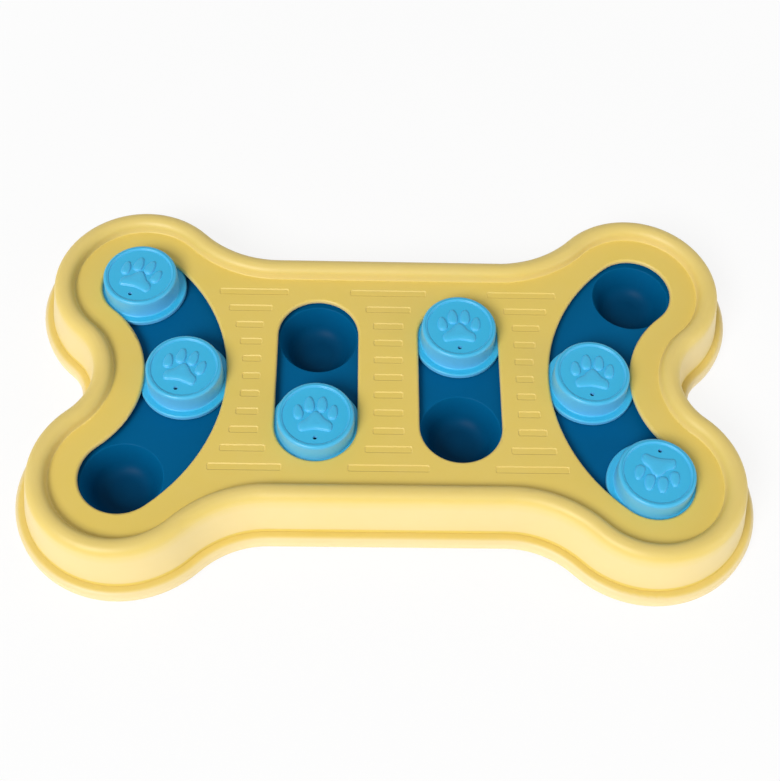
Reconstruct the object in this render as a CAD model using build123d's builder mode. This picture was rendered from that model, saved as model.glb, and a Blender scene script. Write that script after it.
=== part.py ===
from build123d import *
import os
from math import atan2, cos, radians, sin, sqrt, tan

# Bone-shaped slide puzzle for a pet: a yellow shell on a yellow base, four dark tracks with
# round wells under the deck, and six round sliders that run in the slots above them.
# Millimetres, +Z up, X along the bone, Y away from the front edge, origin on the floor.

# Slots and wells in plan
slot_width = 43.0
middle_land = 32.2
side_land = 26.2
straight_pitch = 56.0
arc_radius = 76.2
arc_step = 50.75

# Bone outline at the outer edge of the base lip
edge_margin = 35.0
notch_radius = 21.4
waist_radius = 48.1

# Heights of the shell
foot_proud = 1.5
lip_height = 7.5
deck_height = 29.1
rim_height = 6.1

# Shell
wall = 2.4
deck_thickness = 2.0
wall_draft = 11.0
lip_overhang = 5.0
rim_width = 8.5
recess_draft = 16.0
rim_round = 5.5
rim_inner_round = 4.6
deck_foot_round = 0.8
slot_edge_round = 1.5
shell_edge_chamfer = 0.5

# Grip bars sunk in the deck
bar_rows = 11
bar_pitch = 10.9
bar_shift = 0.75
bar_width = 4.2
bar_corner = 1.2
bar_depth = 0.4
bar_draft = 55.0
bar_margin = 8.2
bar_end_gap = 3.1

# Base
plate_thickness = 2.4
rim_step = 0.25
lip_round = 3.0
lip_under_round = 1.0
tongue_height = 4.0
tongue_thickness = 2.0
tongue_clearance = 0.3
seat_height = 3.45
seat_width = 2.0
seat_inset = 3.0

# Tracks
track_wall = 1.8
track_ledge = 4.4
channel_clearance = 0.6
well_inset = 0.7
well_draft = 24.0
well_rim_round = 0.8
well_floor_round = 9.0

# Sliders
flange_overlap = 2.5
flange_thickness = 3.2
flange_round = 0.9
slide_gap = 0.3
lift_gap = 0.35
knob_clearance = 1.4
knob_height = 11.4
knob_draft = 1.5
knob_round = 1.7
knob_foot_round = 0.8
knob_wall = 2.0
face_inset = 2.4
face_drop = 0.9
face_draft = 30.0
face_edge_round = 0.8
vent_diameter = 2.2
vent_gap = 3.9

# Paw relief on each knob
relief_height = 1.4
relief_round = 0.9
inner_toe = (3.3, 6.3)
inner_toe_size = (5.1, 9.0)
outer_toe = (8.9, 1.8)
outer_toe_size = (4.8, 8.4)
outer_toe_lean = 6.0
toe_tip_land = 0.4
pad_tip = 3.2
pad_waist = (3.5, -1.6)
pad_shoulder = (8.4, -4.6)
pad_corner = (7.4, -9.2)
pad_arch = -7.9
pad_corner_land = 0.4

# Screws and their bosses
screw_diameter = 3.0
screw_length = 14.0
screw_point = 1.0
screw_clearance = 0.2
pilot_clearance = 0.05
pilot_spare = 1.0
head_diameter = 5.8
head_height = 2.0
head_round = 0.8
head_clearance = 0.6
head_sink = 3.0
recess_span = 3.2
recess_width = 0.9
recess_depth = 1.0
boss_diameter = 9.0
boss_height = 4.0
boss_angles = (45, 135)

# Rubber feet
foot_diameter = 18.0
foot_pocket = 1.2
foot_clearance = 0.1
foot_round = 0.6
foot_edge_gap = 5.5
groove_radius = 6.4
groove_width = 1.0
groove_depth = 0.5

# Levels above the floor
base_z = foot_proud
plate_z = base_z + plate_thickness
lip_z = base_z + lip_height
deck_z = base_z + deck_height
crest_z = deck_z + rim_height
deck_under_z = deck_z - deck_thickness
channel_depth = lift_gap + flange_thickness + slide_gap
track_z = deck_under_z - channel_depth
well_z = plate_z + seat_height + track_wall
well_depth = track_z - well_z
boss_z = plate_z + boss_height
head_z = base_z + head_sink
slider_z = track_z + slide_gap

# Half widths and radii of what runs along the slots
slot_half = slot_width / 2
flange_radius = slot_half + flange_overlap
channel_half = flange_radius + channel_clearance
track_half = channel_half + track_ledge
well_radius = slot_half - well_inset
well_floor_radius = well_radius - well_depth * tan(radians(well_draft))
straight_x = middle_land / 2 + slot_half
curve_x = straight_x + slot_width + side_land
arc_x = curve_x + arc_radius


def curve_point(side, steps):
    """Well on a curved track: side is -1 for the left track, steps runs from -1 to 1."""
    angle = radians(steps * arc_step)
    return (side * (arc_x - arc_radius * cos(angle)), arc_radius * sin(angle))


def straight_point(side, steps):
    """Well on a straight track: side is -1 for the left track, steps is -1 or 1."""
    return (side * straight_x, steps * straight_pitch / 2)


curved_wells = {side: [curve_point(side, steps) for steps in (-1, 0, 1)] for side in (-1, 1)}
straight_wells = {side: [straight_point(side, steps) for steps in (-1, 1)] for side in (-1, 1)}
all_wells = [well for side in (-1, 1) for well in curved_wells[side] + straight_wells[side]]

# Bone outline: each lobe goes round the end well of a curved track
lobe_x, lobe_y = curve_point(1, 1)
lobe_radius = slot_half + edge_margin
waist_half = straight_pitch / 2 + slot_half + edge_margin
notch_x = lobe_x + sqrt((lobe_radius + notch_radius) ** 2 - lobe_y**2)
notch_angle = atan2(-lobe_y, notch_x - lobe_x)
waist_y = waist_half + waist_radius
waist_x = lobe_x - sqrt((lobe_radius + waist_radius) ** 2 - (waist_y - lobe_y) ** 2)
waist_angle = atan2(waist_y - lobe_y, waist_x - lobe_x)

# Insets from the lip's outer edge to the wall, the tongue inside it and the deck
wall_lean = tan(radians(wall_draft))
wall_inset = lip_overhang + wall / cos(radians(wall_draft))
tongue_inset = wall_inset + tongue_clearance
tongue_inner_inset = tongue_inset + tongue_thickness
base_rim_inset = tongue_inner_inset + rim_step
crest_inset = lip_overhang + (crest_z - lip_z) * wall_lean
deck_inset = crest_inset + rim_width + rim_height * tan(radians(recess_draft))
pan_inset = deck_inset - wall

# Bosses stand in the lobes, half way from track to tongue, and between the straight tracks
tongue_radius = lobe_radius - tongue_inner_inset - tongue_height * wall_lean
boss_reach = (track_half + tongue_radius) / 2
bosses = [(0, steps * straight_pitch / 2) for steps in (-1, 1)]
for angle in boss_angles:
    boss_x = lobe_x + boss_reach * cos(radians(angle))
    boss_y = lobe_y + boss_reach * sin(radians(angle))
    bosses += [(side * boss_x, steps * boss_y) for side in (-1, 1) for steps in (-1, 1)]

# Feet stand under the lobes and inside the two long edges
foot_mid_y = waist_half - base_rim_inset - foot_edge_gap - foot_diameter / 2
feet = {
    "foot_front_left": (-lobe_x, -lobe_y),
    "foot_front_middle": (0, -foot_mid_y),
    "foot_front_right": (lobe_x, -lobe_y),
    "foot_back_left": (-lobe_x, lobe_y),
    "foot_back_middle": (0, foot_mid_y),
    "foot_back_right": (lobe_x, lobe_y),
}

# Each slider rests over one well, its paw turned by some degrees as it was left
sliders = {
    "slider_left_back": (curve_point(-1, 1), -19),
    "slider_left_middle": (curve_point(-1, 0), -14),
    "slider_inner_left": (straight_point(-1, -1), 0),
    "slider_inner_right": (straight_point(1, 1), 0),
    "slider_right_middle": (curve_point(1, 0), -5),
    "slider_right_front": (curve_point(1, -1), 168),
}


def on_lobe(inset, angle):
    """Point of the right back lobe at an angle, with its arc drawn in by the inset."""
    reach = lobe_radius - inset
    return (lobe_x + reach * cos(angle), lobe_y + reach * sin(angle))


def on_notch(inset, angle):
    """Point of the right end notch at an angle, with its arc drawn in by the inset."""
    reach = notch_radius + inset
    return (notch_x - reach * cos(angle), -reach * sin(angle))


def on_waist(inset, angle):
    """Point of the right back waist corner at an angle, with its arc drawn in by the inset."""
    reach = waist_radius + inset
    return (waist_x - reach * cos(angle), waist_y - reach * sin(angle))


def bone(inset):
    """Bone outline, drawn in from the outer edge of the lip by the inset."""
    straight_up = radians(90)
    with BuildSketch(mode=Mode.PRIVATE) as outline:
        with BuildLine():
            ThreePointArc(
                on_notch(inset, 0),
                on_notch(inset, notch_angle / 2),
                on_lobe(inset, notch_angle),
            )
            ThreePointArc(
                on_lobe(inset, notch_angle),
                on_lobe(inset, (notch_angle + waist_angle) / 2),
                on_lobe(inset, waist_angle),
            )
            ThreePointArc(
                on_lobe(inset, waist_angle),
                on_waist(inset, (waist_angle + straight_up) / 2),
                (waist_x, waist_half - inset),
            )
            Line((waist_x, waist_half - inset), (0, waist_half - inset))
            mirror(about=Plane.YZ)
            mirror(about=Plane.XZ)
        make_face()
    return outline.sketch


def straight_slot(side, half_width):
    """Outline round a straight track, a half width away from its middle line."""
    with BuildSketch(mode=Mode.PRIVATE) as outline:
        with Locations((side * straight_x, 0)):
            SlotCenterToCenter(straight_pitch, 2 * half_width, rotation=90)
    return outline.sketch


def curved_slot(side, half_width):
    """Outline round a curved track, a half width away from its middle line."""
    middle_angle = 180 if side > 0 else 0
    with BuildLine(mode=Mode.PRIVATE) as middle:
        CenterArc((side * arc_x, 0), arc_radius, middle_angle - arc_step, 2 * arc_step)
    with BuildSketch(mode=Mode.PRIVATE) as outline:
        SlotArc(middle.edges()[0], 2 * half_width)
    return outline.sketch


def bar_spans(y):
    """Ends of the three grip bars of one row, each a margin clear of the slots beside it."""
    over = min(max(0, abs(y) - straight_pitch / 2), slot_half + bar_end_gap)
    reach = sqrt((slot_half + bar_margin) ** 2 - over**2)
    curve_side = arc_x - sqrt((arc_radius + slot_half + bar_margin) ** 2 - y**2)
    straight_side = straight_x + reach
    inner = straight_x - reach
    return [(-curve_side, -straight_side), (-inner, inner), (straight_side, curve_side)]


def level(z):
    """Test for a flat face that lies at one height."""
    tolerance = 0.001
    return lambda face: abs(face.center().Z - z) < tolerance


def flat_faces(part, z):
    """Level faces of a part at one height."""
    return part.faces().filter_by(Plane.XY).filter_by(level(z))


os.makedirs("parts", exist_ok=True)

# Hollow of the shell: the drafted inside of the wall, up to the underside of the rim
with BuildPart() as shell_hollow:
    with BuildSketch(Plane.XY.offset(lip_z)):
        add(bone(wall_inset))
    extrude(amount=crest_z - wall - lip_z, taper=wall_draft)
    fillet(shell_hollow.faces().sort_by(Axis.Z)[-1].edges(), radius=rim_round - wall)

# Top shell: drafted wall, rounded rim and sunk deck in one moulding, open below
with BuildPart() as top_shell:
    with BuildSketch(Plane.XY.offset(lip_z)):
        add(bone(lip_overhang))
    extrude(amount=crest_z - lip_z, taper=wall_draft)
    fillet(top_shell.faces().sort_by(Axis.Z)[-1].edges(), radius=rim_round)
    add(shell_hollow.part, mode=Mode.SUBTRACT)

    # Deck with the inner wall of the rim
    with BuildSketch(Plane.XY.offset(deck_under_z)):
        add(bone(pan_inset))
    extrude(amount=crest_z - wall - deck_under_z, taper=-recess_draft)
    with BuildSketch(Plane.XY.offset(deck_z)):
        add(bone(deck_inset))
    extrude(amount=rim_height, taper=-recess_draft, mode=Mode.SUBTRACT)
    fillet(flat_faces(top_shell, crest_z)[0].inner_wires().edges(), radius=rim_inner_round)
    fillet(flat_faces(top_shell, deck_z)[0].outer_wire().edges(), radius=deck_foot_round)

    # Slots for the knobs
    with BuildSketch(Plane.XY.offset(deck_under_z)):
        for side in (-1, 1):
            add(straight_slot(side, slot_half))
            add(curved_slot(side, slot_half))
    extrude(amount=deck_thickness, mode=Mode.SUBTRACT)
    fillet(flat_faces(top_shell, deck_z)[0].inner_wires().edges(), radius=slot_edge_round)

    # Screw bosses under the deck
    with BuildSketch(Plane.XY.offset(boss_z)):
        with Locations(*bosses):
            Circle(boss_diameter / 2)
    extrude(amount=deck_under_z - boss_z)
    with BuildSketch(Plane.XY.offset(boss_z)):
        with Locations(*bosses):
            Circle(screw_diameter / 2 + pilot_clearance)
    extrude(amount=head_z + screw_length + pilot_spare - boss_z, mode=Mode.SUBTRACT)

    # Grip bars, shallow and with sloped sides
    with BuildSketch(Plane.XY.offset(deck_z)):
        for row in range(bar_rows):
            bar_y = bar_pitch * (row - (bar_rows - 1) / 2)
            for left, right in bar_spans(bar_y):
                with Locations(((left + right) / 2, bar_y + bar_shift)):
                    RectangleRounded(right - left, bar_width, bar_corner)
    extrude(amount=-bar_depth, taper=bar_draft, mode=Mode.SUBTRACT)
    chamfer(flat_faces(top_shell, lip_z)[0].outer_wire().edges(), length=shell_edge_chamfer)
top_shell.part.label = "top_shell"
export_step(top_shell.part, "parts/top_shell.step")

# Base cover: a plate with a rounded lip, and a tongue that stands inside the shell's wall
with BuildPart() as base_cover:
    with BuildSketch(Plane.XY.offset(base_z)):
        add(bone(0))
    extrude(amount=lip_height)
    fillet(base_cover.faces().sort_by(Axis.Z)[-1].edges(), radius=lip_round)
    fillet(base_cover.faces().sort_by(Axis.Z)[0].edges(), radius=lip_under_round)
    with BuildSketch(Plane.XY.offset(lip_z)):
        add(bone(tongue_inset))
    extrude(amount=tongue_height, taper=wall_draft)
    with BuildSketch(Plane.XY.offset(lip_z)):
        add(bone(tongue_inner_inset))
    extrude(amount=tongue_height, taper=wall_draft, mode=Mode.SUBTRACT)
    with BuildSketch(Plane.XY.offset(plate_z)):
        add(bone(base_rim_inset))
    extrude(amount=lip_z - plate_z, mode=Mode.SUBTRACT)

    # Ring seats that carry the wells
    with BuildSketch(Plane.XY.offset(plate_z)):
        with Locations(*all_wells):
            Circle(well_floor_radius - seat_inset)
            Circle(well_floor_radius - seat_inset - seat_width, mode=Mode.SUBTRACT)
    extrude(amount=seat_height)

    # Screw seats, sunk from below
    with BuildSketch(Plane.XY.offset(plate_z)):
        with Locations(*bosses):
            Circle(boss_diameter / 2)
    extrude(amount=boss_height)
    with BuildSketch(Plane.XY.offset(base_z)):
        with Locations(*bosses):
            Circle(screw_diameter / 2 + screw_clearance)
    extrude(amount=boss_z - base_z, mode=Mode.SUBTRACT)
    with BuildSketch(Plane.XY.offset(base_z)):
        with Locations(*bosses):
            Circle(head_diameter / 2 + head_clearance)
    extrude(amount=head_sink, mode=Mode.SUBTRACT)

    # Pockets for the feet
    with BuildSketch(Plane.XY.offset(base_z)):
        with Locations(*feet.values()):
            Circle(foot_diameter / 2 + foot_clearance)
    extrude(amount=foot_pocket, mode=Mode.SUBTRACT)
base_cover.part.label = "base_cover"
export_step(base_cover.part, "parts/base_cover.step")


def build_track(name, outline, side, wells):
    """One dark track: a channel for the slider flanges, with round wells sunk in its floor."""
    with BuildPart() as track:
        with BuildSketch(Plane.XY.offset(deck_under_z)):
            add(outline(side, track_half))
        extrude(amount=-track_wall)
        with BuildSketch(Plane.XY.offset(deck_under_z)):
            add(outline(side, channel_half + track_wall))
        extrude(amount=-channel_depth - track_wall)
        with BuildSketch(Plane.XY.offset(track_z)):
            with Locations(*wells):
                Circle(well_radius + track_wall / cos(radians(well_draft)))
        extrude(amount=-well_depth - track_wall, taper=well_draft)
        with BuildSketch(Plane.XY.offset(track_z)):
            add(outline(side, channel_half))
        extrude(amount=channel_depth, mode=Mode.SUBTRACT)
        with BuildSketch(Plane.XY.offset(track_z)):
            with Locations(*wells):
                Circle(well_radius)
        extrude(amount=-well_depth, taper=well_draft, mode=Mode.SUBTRACT)
        fillet(flat_faces(track, well_z).edges(), radius=well_floor_round)
        fillet(flat_faces(track, track_z)[0].inner_wires().edges(), radius=well_rim_round)
    track.part.label = name
    export_step(track.part, f"parts/{name}.step")


for side, word in ((-1, "left"), (1, "right")):
    build_track(f"track_{word}_curved", curved_slot, side, curved_wells[side])
    build_track(f"track_{word}_straight", straight_slot, side, straight_wells[side])


def toe(size):
    """Teardrop outline of one toe, round below and pointed above, about its own middle."""
    half = size[0] / 2
    tip = size[1] / 2
    low = half - tip
    with BuildSketch(mode=Mode.PRIVATE) as outline:
        with BuildLine():
            TangentArc((half, low), (0, tip), tangent=(0, 1))
            ThreePointArc((half, low), (0, -tip), (-half, low))
            TangentArc((-half, low), (0, tip), tangent=(0, 1))
        make_face()
        fillet(outline.vertices().sort_by(Axis.Y)[-1], radius=relief_round + toe_tip_land)
    return outline.sketch


def pad():
    """Heel pad outline: a tip between the toes, drawn-in sides, and an arch below."""
    with BuildSketch(mode=Mode.PRIVATE) as outline:
        with BuildLine():
            ThreePointArc((0, pad_tip), pad_waist, pad_shoulder)
            Line(pad_shoulder, pad_corner)
            ThreePointArc(pad_corner, (0, pad_arch), (-pad_corner[0], pad_corner[1]))
            mirror(about=Plane.YZ)
        make_face()
        fillet(outline.vertices(), radius=relief_round + pad_corner_land)
    return outline.sketch


# Sliders, each a hollow knob on a flange that the deck holds down
knob_radius = slot_half - knob_clearance
top_height = flange_thickness + knob_height
face_height = top_height - face_drop
top_radius = knob_radius - knob_height * tan(radians(knob_draft))
face_radius = top_radius - face_inset - face_drop * tan(radians(face_draft))
for name, ((x, y), turn) in sliders.items():
    spot = Plane((x, y, slider_z), x_dir=(cos(radians(turn)), sin(radians(turn)), 0))
    with BuildPart() as slider:
        with BuildSketch(spot):
            Circle(flange_radius)
        extrude(amount=flange_thickness)
        fillet(slider.edges().filter_by(GeomType.CIRCLE), radius=flange_round)
        with BuildSketch(spot.offset(flange_thickness)):
            Circle(knob_radius)
        extrude(amount=knob_height, taper=knob_draft)
        fillet(flat_faces(slider, slider_z + top_height).edges(), radius=knob_round)
        flange_top = flat_faces(slider, slider_z + flange_thickness)[0]
        fillet(flange_top.inner_wires().edges(), radius=knob_foot_round)
        with BuildSketch(spot.offset(face_height)):
            Circle(face_radius)
        extrude(amount=face_drop, taper=-face_draft, mode=Mode.SUBTRACT)
        edge_ring = flat_faces(slider, slider_z + top_height)[0]
        fillet(edge_ring.inner_wires().edges(), radius=face_edge_round)
        with BuildSketch(spot):
            Circle(knob_radius - knob_wall)
        extrude(amount=face_height - knob_wall, taper=knob_draft, mode=Mode.SUBTRACT)

        # Paw print, with the vent hole below its pad
        with BuildSketch(spot.offset(face_height)):
            for side in (-1, 1):
                with Locations((side * inner_toe[0], inner_toe[1])):
                    add(toe(inner_toe_size))
                lean = (0, 0, -side * outer_toe_lean)
                with Locations(Location((side * outer_toe[0], outer_toe[1], 0), lean)):
                    add(toe(outer_toe_size))
            add(pad())
        extrude(amount=relief_height)
        fillet(flat_faces(slider, slider_z + face_height + relief_height).edges(), radius=relief_round)
        with BuildSketch(spot.offset(face_height)):
            with Locations((0, pad_corner[1] - vent_gap)):
                Circle(vent_diameter / 2)
        extrude(amount=-knob_wall, mode=Mode.SUBTRACT)
    slider.part.label = name
    export_step(slider.part, f"parts/{name}.step")

# Rubber feet, pressed into the pockets of the base
for name, (x, y) in feet.items():
    with BuildPart() as foot:
        with BuildSketch(Plane((x, y, 0))):
            Circle(foot_diameter / 2)
        extrude(amount=foot_proud + foot_pocket)
        fillet(foot.edges().sort_by(Axis.Z)[0], radius=foot_round)
        with BuildSketch(Plane((x, y, 0))):
            Circle(groove_radius)
            Circle(groove_radius - groove_width, mode=Mode.SUBTRACT)
        extrude(amount=groove_depth, mode=Mode.SUBTRACT)
    foot.part.label = name
    export_step(foot.part, f"parts/{name}.step")

# Screws, head down, from the base into the bosses of the shell
with BuildPart() as case_screws:
    with BuildSketch(Plane.XY.offset(head_z)):
        with Locations(*bosses):
            Circle(head_diameter / 2)
    extrude(amount=-head_height)
    fillet(case_screws.edges().group_by(Axis.Z)[0], radius=head_round)
    with BuildSketch(Plane.XY.offset(head_z)):
        with Locations(*bosses):
            Circle(screw_diameter / 2)
    extrude(amount=screw_length)
    chamfer(case_screws.edges().group_by(Axis.Z)[-1], length=screw_point)
    with BuildSketch(Plane.XY.offset(head_z - head_height)):
        with Locations(*bosses):
            Rectangle(recess_span, recess_width)
            Rectangle(recess_width, recess_span)
    extrude(amount=recess_depth, mode=Mode.SUBTRACT)
case_screws.part.label = "case_screws"
export_step(case_screws.part, "parts/case_screws.step")
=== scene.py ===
import bpy
import numpy as np
from mathutils import Matrix, Vector


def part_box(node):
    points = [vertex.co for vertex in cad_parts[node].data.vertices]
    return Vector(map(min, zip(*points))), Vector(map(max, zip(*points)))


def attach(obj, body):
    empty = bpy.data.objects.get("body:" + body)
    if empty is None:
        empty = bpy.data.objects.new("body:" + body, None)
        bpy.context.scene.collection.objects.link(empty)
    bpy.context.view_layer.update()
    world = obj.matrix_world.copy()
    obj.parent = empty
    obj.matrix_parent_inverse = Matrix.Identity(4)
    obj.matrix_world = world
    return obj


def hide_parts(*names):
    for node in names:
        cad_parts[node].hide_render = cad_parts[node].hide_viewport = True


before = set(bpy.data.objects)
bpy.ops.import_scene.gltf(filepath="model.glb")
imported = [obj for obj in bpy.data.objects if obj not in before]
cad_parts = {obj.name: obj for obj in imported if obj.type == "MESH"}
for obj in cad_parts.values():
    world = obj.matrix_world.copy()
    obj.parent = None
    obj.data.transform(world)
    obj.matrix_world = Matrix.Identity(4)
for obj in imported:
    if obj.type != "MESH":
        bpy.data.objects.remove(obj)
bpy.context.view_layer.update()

# Base cover
# The lower half of the case, injection moulded in the same yellow plastic as the shell. Its rounded
# lip stands out under the wall, and its underside holds the feet and the screws that close the case.


class Signal:
    """A socket in a node tree. Arithmetic between signals and numbers adds Math nodes."""

    def __init__(self, tree, socket=None):
        self.tree = tree
        self.socket = socket

    def node(self, kind, settings, inputs, output=0):
        """Any node: its settings first, then a value or a signal for each of its inputs."""
        made = self.tree.nodes.new(kind)
        for name, value in settings.items():
            setattr(made, name, value)
        for name, value in inputs.items():
            if isinstance(value, Signal):
                self.tree.links.new(value.socket, made.inputs[name])
            else:
                made.inputs[name].default_value = value
        return Signal(self.tree, made.outputs[output] if made.outputs else None)

    def math(self, operation, first, second=0):
        """One Math node on signals or numbers."""
        return self.node("ShaderNodeMath", {"operation": operation}, {0: first, 1: second})

    def __abs__(self):
        return self.math("ABSOLUTE", self)

    def __add__(self, other):
        return self.math("ADD", self, other)

    def __radd__(self, other):
        return self.math("ADD", other, self)

    def __sub__(self, other):
        return self.math("SUBTRACT", self, other)

    def __rsub__(self, other):
        return self.math("SUBTRACT", other, self)

    def __mul__(self, other):
        return self.math("MULTIPLY", self, other)

    def __rmul__(self, other):
        return self.math("MULTIPLY", other, self)


def new_finish(name):
    """An empty material, with a signal to start its nodes from."""
    material = bpy.data.materials.new(name)
    material.use_nodes = True
    material.node_tree.nodes.clear()
    return material, Signal(material.node_tree)


def close_finish(start, inputs):
    """Ends a finish with one surface that has these inputs."""
    surface = start.node("ShaderNodeBsdfPrincipled", {}, inputs)
    start.node("ShaderNodeOutputMaterial", {}, {"Surface": surface})


def noise(start, waves, detail):
    """Soft noise from 0 to 1 on the piece's own coordinates, with this many waves in a metre."""
    place = start.node("ShaderNodeTexCoord", {}, {}, "Object")
    return start.node("ShaderNodeTexNoise", {}, {"Vector": place, "Scale": waves, "Detail": detail})


def uneven(signal, reach):
    """Noise from 0 to 1 made a swing about 0, by half the reach to each side."""
    return reach * (signal - 0.5)


def ramp(value, low, high, at_low=0, at_high=1):
    """A straight run from one number at the low end to another at the high end, level beyond both."""
    ends = {"From Min": low, "From Max": high, "To Min": at_low, "To Max": at_high}
    return value.node("ShaderNodeMapRange", {}, {"Value": value, **ends})


def blend_colours(start, share, first, second):
    """The first colour where the share is 0, the second where it is 1."""
    colour_a, colour_b, mixed_colour = 6, 7, 2
    inputs = {"Factor": share, colour_a: (*first, 1), colour_b: (*second, 1)}
    return start.node("ShaderNodeMix", {"data_type": "RGBA"}, inputs, mixed_colour)


def fine_relief(start, height, strength, depth):
    """The normals of a surface that a signal from 0 to 1 raises by up to this depth in metres."""
    return start.node("ShaderNodeBump", {}, {"Strength": strength, "Distance": depth, "Height": height})


def moulded_plastic(
    name, level_colour, painted_upright_colour, roughness, shine, grain, upright_below=1, plain_at=0, painted_highlight_above=1
):
    """Satin moulded plastic: cloudy pigment, uneven gloss, and the fine grain of a sparked mould.

    Upright faces take on a second colour from a stated height downwards, and so does whatever lies
    close to the floor, but not a narrow band at another height. That second colour is painted light
    where it is paler than the level colour and painted shade where it is deeper. Edges above a third
    height get a painted highlight a little towards that colour. Heights are in metres over the floor.
    Left unstated, they turn upright faces all the way up, put the band on the floor and leave the
    edges as they are.
    """
    near_floor_top = 0.021
    colour_fade = 0.013
    painted_highlight_fade = 0.003
    band_half, band_end = 0.0010, 0.0016
    cloud_share, flow_share, painted_light_share, painted_highlight_share = 0.16, 0.08, 0.75, 0.25

    material, start = new_finish(name)
    cloud = noise(start, waves=22, detail=3)
    flow = noise(start, waves=140, detail=2)
    spark = noise(start, waves=2600, detail=2)
    facing = start.node("ShaderNodeTexCoord", {}, {}, "Normal")
    place = start.node("ShaderNodeTexCoord", {}, {}, "Object")
    slope = start.node("ShaderNodeSeparateXYZ", {}, {"Vector": facing}, "Z")
    height = start.node("ShaderNodeSeparateXYZ", {}, {"Vector": place}, "Z")
    upright = 1 - abs(slope)
    below = ramp(height, upright_below - colour_fade, upright_below, 1, 0)
    near_floor = ramp(height, near_floor_top - colour_fade, near_floor_top, 1, 0)
    off_band = ramp(abs(height - plain_at), band_half, band_end)
    # The second colour is painted light and shade, left off the band; the painted highlight pales the top
    # edges.
    second = start.math("MAXIMUM", upright * below, near_floor) * off_band
    painted_highlight = ramp(height, painted_highlight_above, painted_highlight_above + painted_highlight_fade)
    share = cloud_share * cloud + flow_share * flow + painted_light_share * second + painted_highlight_share * painted_highlight
    inputs = {
        "Base Color": blend_colours(start, share, level_colour, painted_upright_colour),
        "Roughness": roughness + uneven(flow, 0.1) + uneven(spark, 0.06),
        "Normal": fine_relief(start, spark, strength=0.35, depth=grain),
        "Specular IOR Level": shine,
        "Subsurface Weight": 0.04,
        "Subsurface Radius": (0.004, 0.003, 0.002),
        "Subsurface Scale": 0.4,
    }
    close_finish(start, inputs)
    return material


def finish_node(node, material):
    """Gives a part of the frame its finish."""
    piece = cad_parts[node]
    piece.data.materials.clear()
    piece.data.materials.append(material)


tongue_height = 0.004
wall_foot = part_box("base_cover")[1].z - tongue_height
joint_over_foot = 0.0011
rim_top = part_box("top_shell")[1].z
rim_highlight_depth = 0.0022
# The paler upright colour is painted light on the walls and on the lip near the floor, and is left off the
# joint band. The paler rim crest is a painted highlight.
yellow = moulded_plastic(
    "satin_yellow_plastic",
    level_colour=(0.748, 0.550, 0.090),
    painted_upright_colour=(0.785, 0.640, 0.345),
    roughness=0.45,
    shine=0.5,
    grain=0.00004,
    upright_below=0.040,
    plain_at=wall_foot + joint_over_foot,
    painted_highlight_above=rim_top - rim_highlight_depth,
)
finish_node("base_cover", yellow)

# Rubber feet
# Six soft discs with a ring groove, moulded in dark grey rubber and pressed into pockets
# of the base. Rubber picks up floor dust, so the colour is uneven.

rubber, start = new_finish("dark_grey_rubber")
dust = noise(start, waves=420, detail=5)
pores = noise(start, waves=3800, detail=3)
clean_rubber = (0.028, 0.028, 0.030)
dusty_rubber = (0.085, 0.083, 0.080)
close_finish(
    start,
    {
        "Base Color": blend_colours(start, dust, clean_rubber, dusty_rubber),
        "Roughness": 0.68 + uneven(dust, 0.2),
        "Normal": fine_relief(start, pores, strength=0.5, depth=0.00008),
        "IOR": 1.5,
    },
)
for corner in ("front_left", "front_middle", "front_right", "back_left", "back_middle", "back_right"):
    finish_node(f"foot_{corner}", rubber)

# Tracks
# Four dark-blue mouldings under the slots, each a channel with round wells sunk in its floor.
# They sit on rings of the base, and the deck clamps them from above.

# The deeper upright colour is painted shade on the well walls and on the well floors near the floor.
dark_blue = moulded_plastic(
    "satin_dark_blue_plastic",
    level_colour=(0.0003, 0.118, 0.286),
    painted_upright_colour=(0.0002, 0.036, 0.092),
    roughness=0.42,
    shine=0.04,
    grain=0.00004,
    upright_below=0.0245,
)
for track in ("left_curved", "left_straight", "right_straight", "right_curved"):
    finish_node(f"track_{track}", dark_blue)

# Sliders
# Six light-blue knobs, each one hollow moulding: a flange that the deck holds down, a round
# knob with a raised edge, a paw print in soft relief, and a scent hole below its pad.

print_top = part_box("slider_left_back")[1].z
print_highlight_depth = 0.00155
# The paler upright colour is painted light on the knob sides, and the paling of the raised edge and paw
# print towards the top is a painted highlight.
light_blue = moulded_plastic(
    "satin_light_blue_plastic",
    level_colour=(0.016, 0.440, 0.715),
    painted_upright_colour=(0.150, 0.560, 0.930),
    roughness=0.36,
    shine=0.45,
    grain=0.00003,
    painted_highlight_above=print_top - print_highlight_depth,
)

# A knob is drawn in millimetres, from the middle of its foot. The rounds are radii of its corners.
millimetres_in_metre = 1000
flange_radius = 24.0
flange_thickness = 3.2
flange_round = 0.9
knob_foot_radius = 20.1
knob_foot_round = 0.8
knob_top_radius = 19.8
knob_top = 14.6
edge_outer_round = 1.7
edge_inner_radius = 17.4
edge_inner_round = 1.0
face_radius = 16.9
face_level = 13.7
face_round = 0.5
hollow_radius = 18.1
hollow_mouth_round = 0.3
hollow_top_radius = 17.8
hollow_top = 11.7
hollow_top_round = 1.0
scent_hole = (0.0, -13.1)
scent_hole_radius = 1.1

# A toe is given by its place, half its width, half its length and its lean in degrees, the pad by the
# corners of its right half.
relief_height = 1.4
toe_places = ((3.3, 6.3, 2.55, 4.5, -3.0), (8.9, 1.8, 2.4, 4.2, -8.0))
toe_bluntness = 0.8
toe_taper = 0.24
toe_widest = 1.03
toe_dome = 2.3
pad_corners = (
    (0.0, 2.3),
    (2.2, 0.9),
    (4.5, -2.0),
    (7.7, -4.3),
    (8.6, -6.7),
    (7.5, -9.3),
    (3.5, -8.7),
    (0.0, -8.3),
)
pad_dome = 3.2
pillow_edge = 0.25
pillow_edge_share = 0.3

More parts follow.
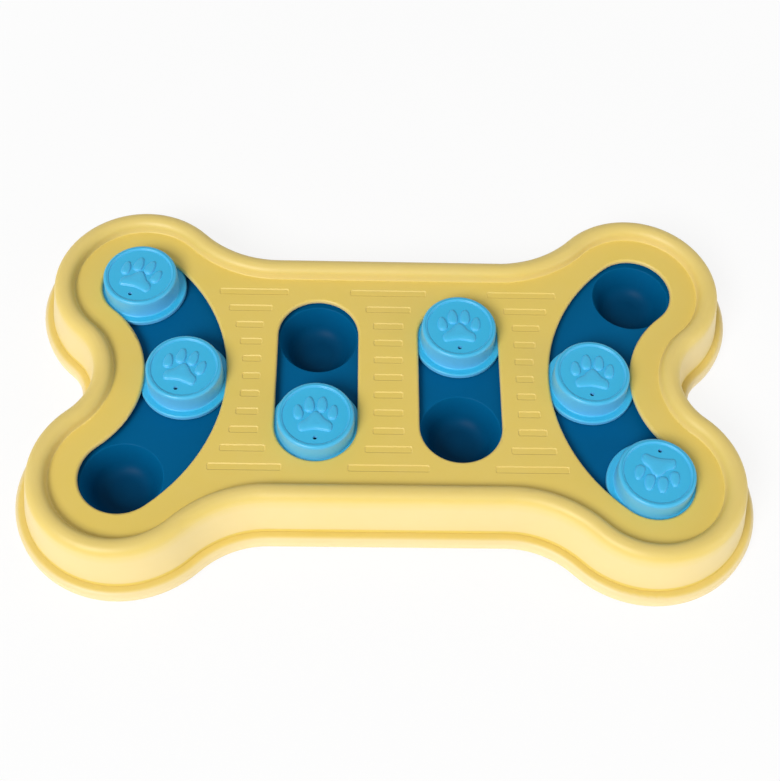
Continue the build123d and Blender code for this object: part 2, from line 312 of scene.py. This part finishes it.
# The grid of a knob: steps round it, rings over its face, and the block left out for its scent hole.
around = 288
face_rings = 90
first_ring_radius = 0.25
last_ring_margin = 0.7
hole_block_half = 1.3 * scent_hole_radius
hole_side_steps = 5
sharp_angle = np.radians(75)


def unit(vector):
    """The same direction, one long."""
    return vector / np.linalg.norm(vector)


def rounded_profile(corners, steps=7, support=0.12):
    """Straight runs between corners, with an arc of its own radius in place of each inner corner.

    A corner is its place and its radius. The arc meets both runs where they touch a circle of that
    radius. Support points close to each arc keep the runs beside it flat when they are shaded smooth.
    """
    corners = np.array(corners, float)
    places = corners[:, :2]
    rounds = corners[1:-1, 2]
    points = [places[:1]]
    for before, corner, after, radius in zip(places, places[1:], places[2:], rounds):
        back = unit(before - corner)
        on = unit(after - corner)
        half = np.arccos(np.clip(back @ on, -1, 1)) / 2
        reach = radius / np.tan(half) + support
        middle = corner + unit(back + on) * radius / np.sin(half)
        turn = np.linspace(-1, 1, steps) * (np.pi / 2 - half)
        to_corner = unit(corner - middle)
        across = unit(on - back)
        arc = middle + radius * (np.outer(np.cos(turn), to_corner) + np.outer(np.sin(turn), across))
        points += [corner[None] + back * reach, arc, corner[None] + on * reach]
    points.append(places[-1:])
    return np.vstack(points)


def closed_curve(points, steps=14):
    """A smooth closed line through the points, worked out for all spans at once.

    Each span is a cubic, and its slope at a point is half the way from the point before to the next.
    """
    points = np.array(points, float)
    before, near, far, after = (np.roll(points, shift, axis=0)[:, None] for shift in (1, 0, -1, -2))
    t = np.linspace(0, 1, steps, endpoint=False)[None, :, None]
    doubled = (
        2 * near
        + (far - before) * t
        + (2 * before - 5 * near + 4 * far - after) * t**2
        + (3 * near - before - 3 * far + after) * t**3
    )
    return doubled.reshape(-1, 2) / 2


def depth_inside(x, y, outline):
    """Distance from each point to a closed line, positive inside it and negative outside.

    It is the least distance to any run of the line. A point is inside where a level ray from it to
    the right crosses the line an odd number of times.
    """
    runs = np.roll(outline, -1, axis=0) - outline
    from_x = x[..., None] - outline[:, 0]
    from_y = y[..., None] - outline[:, 1]
    along = np.clip((from_x * runs[:, 0] + from_y * runs[:, 1]) / (runs**2).sum(1), 0, 1)
    away = np.hypot(from_x - along * runs[:, 0], from_y - along * runs[:, 1]).min(-1)
    end_y = np.roll(outline[:, 1], -1)
    spans = (outline[:, 1] > y[..., None]) != (end_y > y[..., None])
    slope = runs[:, 0] / np.where(runs[:, 1] == 0, 1, runs[:, 1])
    crossings = (spans & (from_x < from_y * slope)).sum(-1)
    return np.where(crossings % 2 == 1, away, -away)


def toe_outline(x, y, half_width, half_length, lean, steps=64):
    """A blunt egg: its length is cos t, its width a flattened sin t, drawn in by a share of cos t."""
    t = np.linspace(0, 2 * np.pi, steps, endpoint=False)
    flattened = np.sign(np.sin(t)) * np.abs(np.sin(t)) ** toe_bluntness
    across = half_width * flattened * (1 - toe_taper * np.cos(t)) / toe_widest
    along = half_length * np.cos(t)
    turn = np.radians(lean)
    turned_x = across * np.cos(turn) - along * np.sin(turn)
    turned_y = across * np.sin(turn) + along * np.cos(turn)
    return np.stack([x + turned_x, y + turned_y], 1)


def pillow(depth, dome_width):
    """Height from 0 to 1 of a cushion: a short smooth step at its edge, then a quarter ellipse inwards."""
    step = np.clip((depth + pillow_edge) / (2 * pillow_edge), 0, 1)
    dome = np.clip(depth / dome_width, 0, 1)
    smooth_step = step**2 * (3 - 2 * step)
    quarter_ellipse = np.sqrt(1 - (1 - dome) ** 2)
    return pillow_edge_share * smooth_step + (1 - pillow_edge_share) * quarter_ellipse


def paw_relief(x, y):
    """Height of the paw print over the face: the higher of one pad and two toes on each side."""
    half_pad = np.array(pad_corners)
    other_half = half_pad[-2:0:-1] * [-1, 1]
    pad = closed_curve(np.vstack([half_pad, other_half]))
    height = pillow(depth_inside(x, y, pad), pad_dome)
    for toe_x, toe_y, half_width, half_length, lean in toe_places:
        for side in (-1, 1):
            toe = toe_outline(side * toe_x, toe_y, half_width, half_length, side * lean)
            height = np.maximum(height, pillow(depth_inside(x, y, toe), toe_dome))
    return relief_height * height


def knob_profile(face, ceiling):
    """Radius and height of one knob, from the rings of its face to the rings of its ceiling.

    It runs from the middle of the face out over the raised edge, down the knob, round the flange,
    up inside the hollow and back to the middle of its ceiling.
    """
    side = rounded_profile(
        [
            (face[-1], face_level, 0),
            (face_radius, face_level, face_round),
            (edge_inner_radius, knob_top, edge_inner_round),
            (knob_top_radius, knob_top, edge_outer_round),
            (knob_foot_radius, flange_thickness, knob_foot_round),
            (flange_radius, flange_thickness, flange_round),
            (flange_radius, 0, flange_round),
            (hollow_radius, 0, hollow_mouth_round),
            (hollow_top_radius, hollow_top, hollow_top_round),
            (ceiling[0], hollow_top, 0),
        ]
    )
    face_run = np.stack([face[:-1], np.full(len(face) - 1, face_level)], 1)
    ceiling_run = np.stack([ceiling[1:], np.full(len(ceiling) - 1, hollow_top)], 1)
    return np.vstack([face_run, side, ceiling_run])


def block_edge(block):
    """The outer cells of a block of the grid, in order round it."""
    return np.concatenate([block[0], block[1:, -1], block[-1, -2::-1], block[-2:0:-1, 0]])


def knob_shape():
    """Points and faces of one knob: its profile carried once round, closed by a fan at each end.

    The paw print lifts the face. Where the scent hole is, three quarters of the way round, a block of
    cells is left out of face and ceiling, its edges are drawn in to a circle, and a wall joins the two.
    """
    face = np.linspace(first_ring_radius, face_radius - last_ring_margin, face_rings)
    hole_reach = np.linalg.norm(scent_hole)
    hole_rows = np.flatnonzero(np.abs(face - hole_reach) < hole_block_half)
    hole_steps = around * 3 // 4 + np.arange(-hole_side_steps, hole_side_steps + 1)
    ceiling = np.append(face[hole_rows[::-1]], face[0])
    profile = knob_profile(face, ceiling)
    count = len(profile)
    angle = np.linspace(0, 2 * np.pi, around, endpoint=False)
    x = profile[:, :1] * np.cos(angle)
    y = profile[:, :1] * np.sin(angle)
    z = np.repeat(profile[:, 1:], around, axis=1)
    z[:face_rings] += paw_relief(x[:face_rings], y[:face_rings])
    points = np.stack([x, y, z], -1).reshape(-1, 3)

    cell = np.arange(count * around).reshape(count, around)
    beside = np.roll(cell, -1, axis=1)
    quads = np.stack([cell[:-1], cell[1:], beside[1:], beside[:-1]], -1)
    ceiling_rows = count - 2 - np.arange(len(hole_rows))
    solid = np.ones((count - 1, around), bool)
    solid[np.ix_(hole_rows[:-1], hole_steps[:-1])] = False
    solid[np.ix_(ceiling_rows[1:], hole_steps[:-1])] = False
    mouth = block_edge(cell[np.ix_(hole_rows, hole_steps)])
    inner_mouth = block_edge(cell[np.ix_(ceiling_rows, hole_steps)])
    for edge in (mouth, inner_mouth):
        away = points[edge, :2] - scent_hole
        distance = np.linalg.norm(away, axis=1, keepdims=True)
        points[edge, :2] = scent_hole + scent_hole_radius * away / distance
    wall = np.stack([mouth, inner_mouth, np.roll(inner_mouth, -1), np.roll(mouth, -1)], 1)
    quads = np.vstack([quads[solid], wall])

    poles = np.array([points[cell[0]].mean(0), points[cell[-1]].mean(0)])
    top_fan = np.stack([np.full(around, len(points)), cell[0], beside[0]], 1)
    ceiling_fan = np.stack([np.full(around, len(points) + 1), beside[-1], cell[-1]], 1)
    points = np.vstack([points, poles])
    used = np.unique(np.concatenate([quads.ravel(), top_fan.ravel(), ceiling_fan.ravel()]))
    number = np.zeros(len(points), int)
    number[used] = np.arange(len(used))
    quads, top_fan, ceiling_fan = (number[group].tolist() for group in (quads, top_fan, ceiling_fan))
    return points[used], quads + top_fan + ceiling_fan


# Each paw print is turned by so many degrees, as it lies in the photograph.
paw_turns = {
    "left_back": -19,
    "left_middle": -14,
    "inner_left": 0,
    "inner_right": 0,
    "right_middle": -5,
    "right_front": 168,
}
knob_points, knob_faces = knob_shape()
for body, turn in paw_turns.items():
    low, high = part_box(f"slider_{body}")
    place = np.array([(low.x + high.x) / 2, (low.y + high.y) / 2, low.z])
    cos_turn, sin_turn = np.cos(np.radians(turn)), np.sin(np.radians(turn))
    turned = knob_points @ np.array([(cos_turn, sin_turn, 0), (-sin_turn, cos_turn, 0), (0, 0, 1)])
    mesh = bpy.data.meshes.new(f"knob_{body}")
    mesh.from_pydata(turned / millimetres_in_metre + place, [], knob_faces)
    mesh.polygons.foreach_set("use_smooth", np.ones(len(mesh.polygons), bool))
    mesh.set_sharp_from_angle(angle=sharp_angle)
    mesh.materials.append(light_blue)
    slider = bpy.data.objects.new(f"knob_{body}", mesh)
    bpy.context.scene.collection.objects.link(slider)
    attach(slider, body)
    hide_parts(f"slider_{body}")

# Top shell
# The upper half of the case, one yellow moulding: sloped wall, rounded rim and sunk deck with
# four slots and rows of shallow sunk grip bars. It drops over the tongue of the base.

finish_node("top_shell", yellow)

# Case screws
# Ten pan-head screws of zinc-plated steel, driven from below through the base into bosses
# of the shell. The plating is bright, with fine scratches and a faint cloud.

zinc, start = new_finish("zinc_plated_steel")
plating = noise(start, waves=700, detail=4)
scratches = noise(start, waves=5200, detail=2)
dull_zinc = (0.42, 0.43, 0.44)
bright_zinc = (0.62, 0.62, 0.61)
close_finish(
    start,
    {
        "Base Color": blend_colours(start, plating, dull_zinc, bright_zinc),
        "Roughness": 0.28 + uneven(plating, 0.2),
        "Metallic": 1.0,
        "Normal": fine_relief(start, scratches, strength=0.3, depth=0.00003),
    },
)
finish_node("case_screws", zinc)

# Floor and light
# A plain pale floor that fades into a white surround. One large soft lamp stands in front on the
# left, half way up, a weak one low on the right, and a wide faint one on the floor lights the walls.

white = (1, 1, 1, 1)
floor_grey = (0.93, 0.93, 0.93, 1)
floor_half_width = 6.0
fade_start, fade_end = 0.3, 0.9
whiteness_near_toy = 0.85
ambient = 0.36
lamp_aim = Vector((0, 0, 0.02))


def seen_directly(start):
    """1 for rays that show the surround itself, in view or mirrored, and 0 for its light.

    It is the highest of three marks, for rays from the camera, off a gloss and through a clear piece.
    """
    kinds = ("Is Camera Ray", "Is Glossy Ray", "Is Transmission Ray")
    viewed, mirrored, through = (start.node("ShaderNodeLightPath", {}, {}, kind) for kind in kinds)
    return start.math("MAXIMUM", viewed, start.math("MAXIMUM", mirrored, through))


floor_finish, start = new_finish("pale_floor")
floor_lit = start.node("ShaderNodeBsdfDiffuse", {}, {"Color": floor_grey})
floor_white = start.node("ShaderNodeEmission", {}, {"Color": white, "Strength": 1.0})
floor_place = start.node("ShaderNodeTexCoord", {}, {}, "Object")
from_toy = start.node("ShaderNodeVectorMath", {"operation": "LENGTH"}, {0: floor_place}, "Value")
whiteness = ramp(from_toy, fade_start, fade_end, whiteness_near_toy, 1) * seen_directly(start)
floor_surface = start.node("ShaderNodeMixShader", {}, {"Fac": whiteness, 1: floor_lit, 2: floor_white})
start.node("ShaderNodeOutputMaterial", {}, {"Surface": floor_surface})
floor_mesh = bpy.data.meshes.new("floor")
floor_corners = np.array([(-1, -1, 0), (1, -1, 0), (1, 1, 0), (-1, 1, 0)]) * floor_half_width
floor_mesh.from_pydata(floor_corners, [], [(0, 1, 2, 3)])
floor_mesh.materials.append(floor_finish)
floor = bpy.data.objects.new("floor", floor_mesh)
bpy.context.scene.collection.objects.link(floor)

surround = bpy.data.worlds.new("white_surround")
surround.use_nodes = True
surround.node_tree.nodes.clear()
start = Signal(surround.node_tree)
sky_strength = ambient + (1 - ambient) * seen_directly(start)
sky = start.node("ShaderNodeBackground", {}, {"Color": white, "Strength": sky_strength})
start.node("ShaderNodeOutputWorld", {}, {"Surface": sky})
bpy.context.scene.world = surround


def soft_lamp(name, place, size, power):
    """A square lamp aimed at the middle of the toy, itself out of view."""
    lamp = bpy.data.lights.new(name, "AREA")
    lamp.shape = "SQUARE"
    lamp.size = size
    lamp.energy = power
    holder = bpy.data.objects.new(name, lamp)
    turn = (lamp_aim - Vector(place)).to_track_quat("-Z", "Y")
    holder.matrix_world = Matrix.Translation(place) @ turn.to_matrix().to_4x4()
    holder.visible_camera = False
    bpy.context.scene.collection.objects.link(holder)
    return holder


soft_lamp("front_lamp", place=(-2.0, -2.9, 3.4), size=2.0, power=184)
soft_lamp("right_lamp", place=(1.5, -0.6, 0.4), size=0.8, power=5)
floor_lamp = soft_lamp("floor_lamp", place=(0.0, 0.0, 0.0005), size=0.9, power=1.15)
floor_lamp.visible_glossy = False

# Camera
# The photograph's viewpoint: in front and above, a little to the left, and rolled slightly.
# Its angles, distance and lens were fitted to the outline, slots and wells in the photograph.

elevation, heading, roll = np.radians((58.14, -3.214, 3.518))
aim_point = np.array((0.81, -7.4, 30.6)) / millimetres_in_metre
distance = 0.7078
focal_pixels = 1349.3
picture_width = 780
back = np.array(
    (np.sin(heading) * np.cos(elevation), -np.cos(heading) * np.cos(elevation), np.sin(elevation))
)
level_right = unit(np.cross(-back, (0, 0, 1)))
level_up = np.cross(back, level_right)
right = np.cos(roll) * level_right + np.sin(roll) * level_up
up = np.cos(roll) * level_up - np.sin(roll) * level_right
lens = bpy.data.cameras.new("camera")
lens.sensor_fit = "HORIZONTAL"
lens.sensor_width = 36
lens.lens = focal_pixels / picture_width * lens.sensor_width
camera = bpy.data.objects.new("camera", lens)
axes = np.eye(4)
axes[:3] = np.stack([right, up, back, aim_point + distance * back], 1)
camera.matrix_world = Matrix(axes.tolist())
bpy.context.scene.collection.objects.link(camera)
bpy.context.scene.camera = camera
bpy.context.scene.view_settings.view_transform = "Standard"
